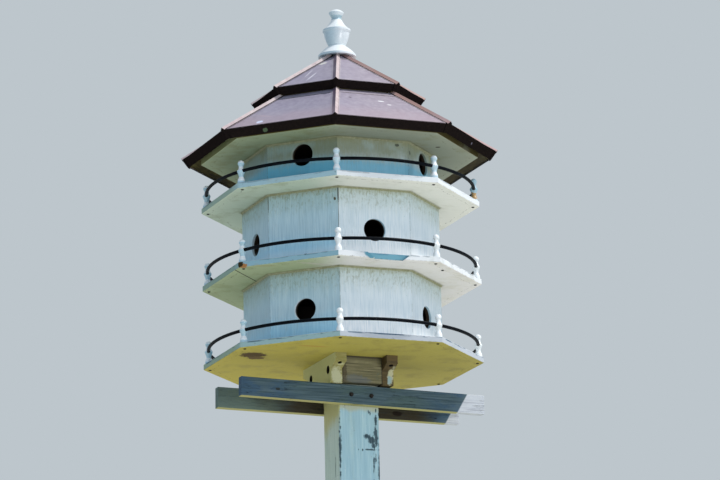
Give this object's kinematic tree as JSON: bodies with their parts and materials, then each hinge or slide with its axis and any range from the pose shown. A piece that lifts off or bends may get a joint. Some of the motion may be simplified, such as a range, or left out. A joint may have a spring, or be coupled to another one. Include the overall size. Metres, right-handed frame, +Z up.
{
  "type": "octagonal dovecote on a post",
  "caption": "Octagonal wooden bird house with railed balcony decks, round entry holes and a tiered sheet-metal roof, on a square post with perch beams.",
  "frame": {"origin": "centre of the post's foot at ground level", "axes": "+Z up along the post; -Y is the flat side of the octagon that shows the wider face of the post and the front perch beam; +X to the right of it"},
  "size_m": [0.7136, 0.7136, 4.0838],
  "materials": {
    "wall_paint": "aged white oil paint on boards",
    "deck_paint": "white paint, yellowed underneath",
    "baluster_paint": "white gloss paint",
    "finial_paint": "white gloss paint",
    "post_paint": "peeling white paint",
    "mount_wood": "stained and weathered paint",
    "weathered_beam": "bare wood, weathered grey",
    "roof_board": "stained wood",
    "roof_sheet": "aged brown coating",
    "rail": "black coated bar"
  },
  "bodies": {
    "root": {"post": "post_paint", "left_cleat": "mount_wood", "right_cleat": "mount_wood", "front_filler": "mount_wood", "rear_filler": "mount_wood", "front_crossbeam": "weathered_beam", "rear_crossbeam": "weathered_beam", "lower_deck": "deck_paint", "middle_deck": "deck_paint", "upper_deck": "deck_paint", "roof_base": "deck_paint", "lower_entry_wall_front_right": "wall_paint", "lower_entry_wall_back_right": "wall_paint", "lower_entry_wall_back_left": "wall_paint", "lower_entry_wall_front_left": "wall_paint", "lower_plain_walls": "wall_paint", "lower_balusters": "baluster_paint", "lower_rail": "rail", "middle_entry_wall_front": "wall_paint", "middle_entry_wall_right": "wall_paint", "middle_entry_wall_back": "wall_paint", "middle_entry_wall_left": "wall_paint", "middle_plain_walls": "wall_paint", "middle_balusters": "baluster_paint", "middle_rail": "rail", "upper_entry_wall_front_right": "wall_paint", "upper_entry_wall_back_right": "wall_paint", "upper_entry_wall_back_left": "wall_paint", "upper_entry_wall_front_left": "wall_paint", "upper_plain_walls": "wall_paint", "upper_balusters": "baluster_paint", "upper_rail": "rail", "lower_roof_boards": "roof_board", "lower_roof_sheets": "roof_sheet", "lower_hip_caps": "roof_sheet", "upper_roof_boards": "roof_board", "upper_roof_sheets": "roof_sheet", "upper_hip_caps": "roof_sheet", "upper_roof_spacers": "roof_board", "finial": "finial_paint"}
  },
  "joints": []
}
